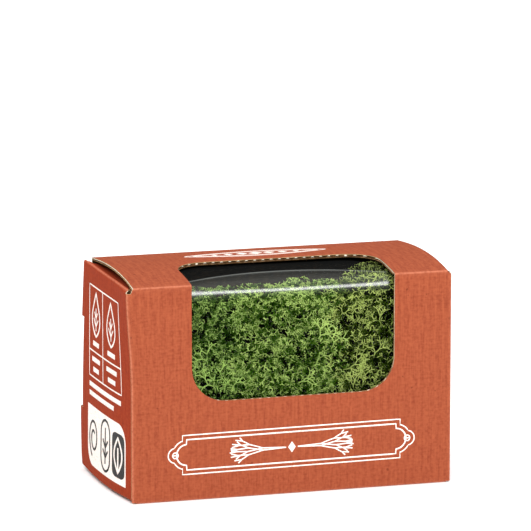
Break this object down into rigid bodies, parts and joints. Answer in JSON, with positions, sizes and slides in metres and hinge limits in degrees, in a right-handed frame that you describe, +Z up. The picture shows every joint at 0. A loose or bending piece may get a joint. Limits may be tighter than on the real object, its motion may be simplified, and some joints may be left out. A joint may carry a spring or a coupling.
{
  "type": "reindeer moss in a window carton",
  "caption": "Cushions of green reindeer moss held in a fluted-board carton with a clear film window over its front and top, and two hinged end flaps.",
  "frame": {"origin": "middle of the carton's base", "axes": "+X right along the front panel, +Y from the front to the back, +Z up"},
  "size_m": [0.136, 0.065, 0.0879],
  "materials": {
    "board": "matt printed liner",
    "film": "clear glossy film",
    "moss": "dry, matt"
  },
  "bodies": {
    "carton": {"carton_sleeve": "board", "window_film": "film", "moss_left": "moss", "moss_middle": "moss", "moss_right": "moss"},
    "end_left": {"end_flap_left": "board"},
    "end_right": {"end_flap_right": "board"}
  },
  "joints": [
    {"name": "left_end_crease", "type": "hinge", "parent": "carton", "child": "end_left", "pos_m": [-0.0654, -0.0325, 0], "axis": [0, 0, 1], "range_deg": [0, 110]},
    {"name": "right_end_crease", "type": "hinge", "parent": "carton", "child": "end_right", "pos_m": [0.0654, -0.0325, 0], "axis": [0, 0, -1], "range_deg": [0, 110]}
  ]
}
